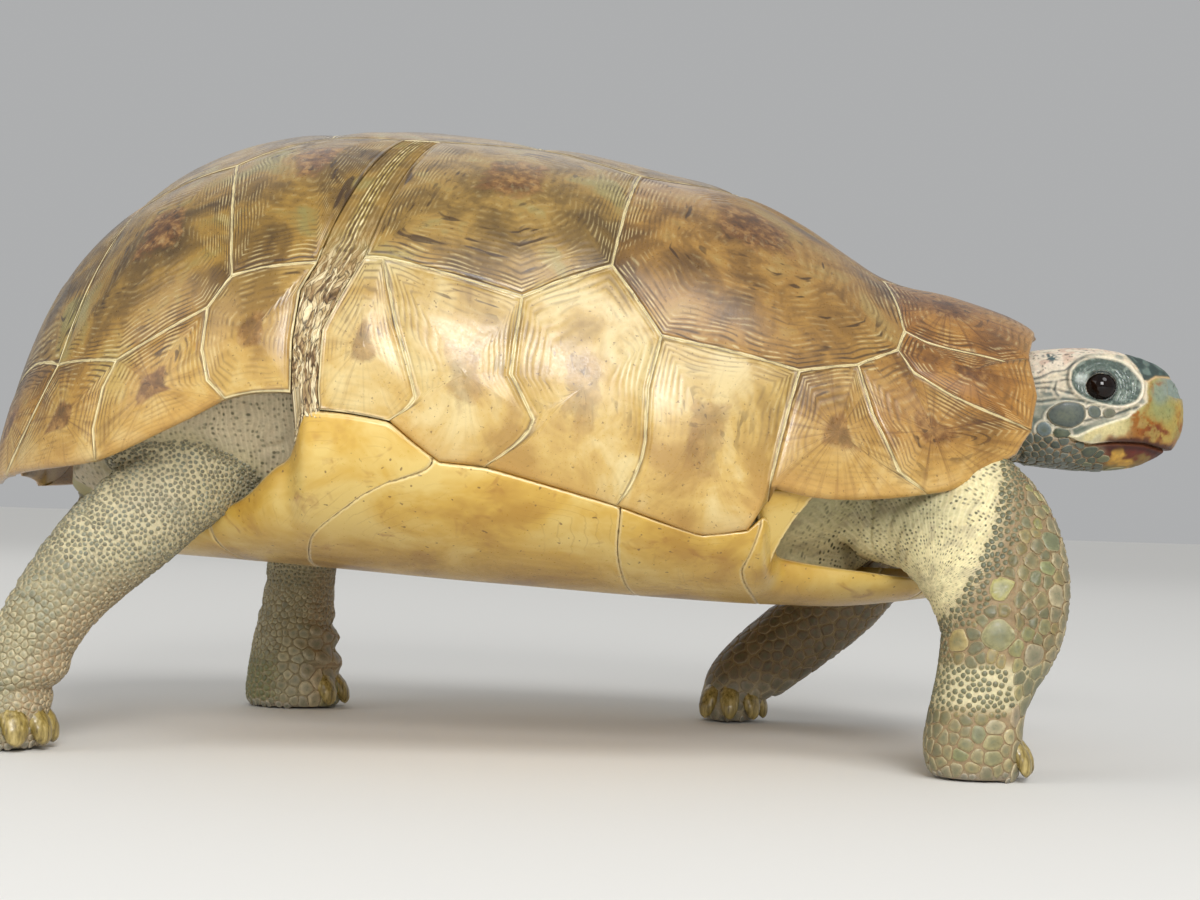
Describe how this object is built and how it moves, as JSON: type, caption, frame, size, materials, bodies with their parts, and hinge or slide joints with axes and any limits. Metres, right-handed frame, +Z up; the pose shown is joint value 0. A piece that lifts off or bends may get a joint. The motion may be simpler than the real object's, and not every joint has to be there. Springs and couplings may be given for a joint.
{
  "type": "hinge-back tortoise model",
  "caption": "Life-size still model of a walking hinge-back tortoise: domed shell of separate horny plates, beaked head, scaly legs with claws and a short tail.",
  "frame": {"origin": "middle of the overall footprint, at floor level under the soles", "axes": "+X to the head, +Y to the animal's left, +Z up"},
  "size_m": [0.221, 0.1326, 0.1111],
  "materials": {
    "horn_brown": "glossy horn",
    "horn_amber": "glossy horn",
    "hinge_horn": "flaky soft horn",
    "leg_skin": "scaly skin",
    "head_skin": "scaly skin and beak",
    "soft_skin": "dull skin",
    "eye": "wet gloss"
  },
  "bodies": {
    "root": {"costal_1_right": "horn_brown", "costal_2_right": "horn_brown", "costal_3_right": "horn_brown", "costal_4_right": "horn_brown", "marginal_1_right": "horn_amber", "marginal_2_right": "horn_amber", "marginal_3_right": "horn_amber", "marginal_4_right": "horn_amber", "marginal_5_right": "horn_amber", "marginal_6_right": "horn_amber", "marginal_7_right": "horn_amber", "marginal_8_right": "horn_amber", "marginal_9_right": "horn_amber", "marginal_10_right": "horn_amber", "marginal_11_right": "horn_amber", "marginal_12_right": "horn_amber", "costal_1_left": "horn_brown", "costal_2_left": "horn_brown", "costal_3_left": "horn_brown", "costal_4_left": "horn_brown", "marginal_1_left": "horn_amber", "marginal_2_left": "horn_amber", "marginal_3_left": "horn_amber", "marginal_4_left": "horn_amber", "marginal_5_left": "horn_amber", "marginal_6_left": "horn_amber", "marginal_7_left": "horn_amber", "marginal_8_left": "horn_amber", "marginal_9_left": "horn_amber", "marginal_10_left": "horn_amber", "marginal_11_left": "horn_amber", "marginal_12_left": "horn_amber", "vertebral_1": "horn_brown", "vertebral_2": "horn_brown", "vertebral_3": "horn_brown", "vertebral_4": "horn_brown", "vertebral_5": "horn_brown", "nuchal": "horn_brown", "supracaudal": "horn_amber", "gular": "horn_amber", "humeral": "horn_amber", "pectoral": "horn_amber", "abdominal": "horn_amber", "femoral": "horn_amber", "anal": "horn_amber", "hinge_right": "hinge_horn", "hinge_left": "hinge_horn", "trunk": "soft_skin", "neck": "soft_skin", "tail": "soft_skin", "leg_front_right": "leg_skin", "leg_front_left": "leg_skin", "leg_rear_right": "leg_skin", "leg_rear_left": "leg_skin", "head": "head_skin", "eye_right": "eye", "eye_left": "eye"}
  },
  "joints": []
}
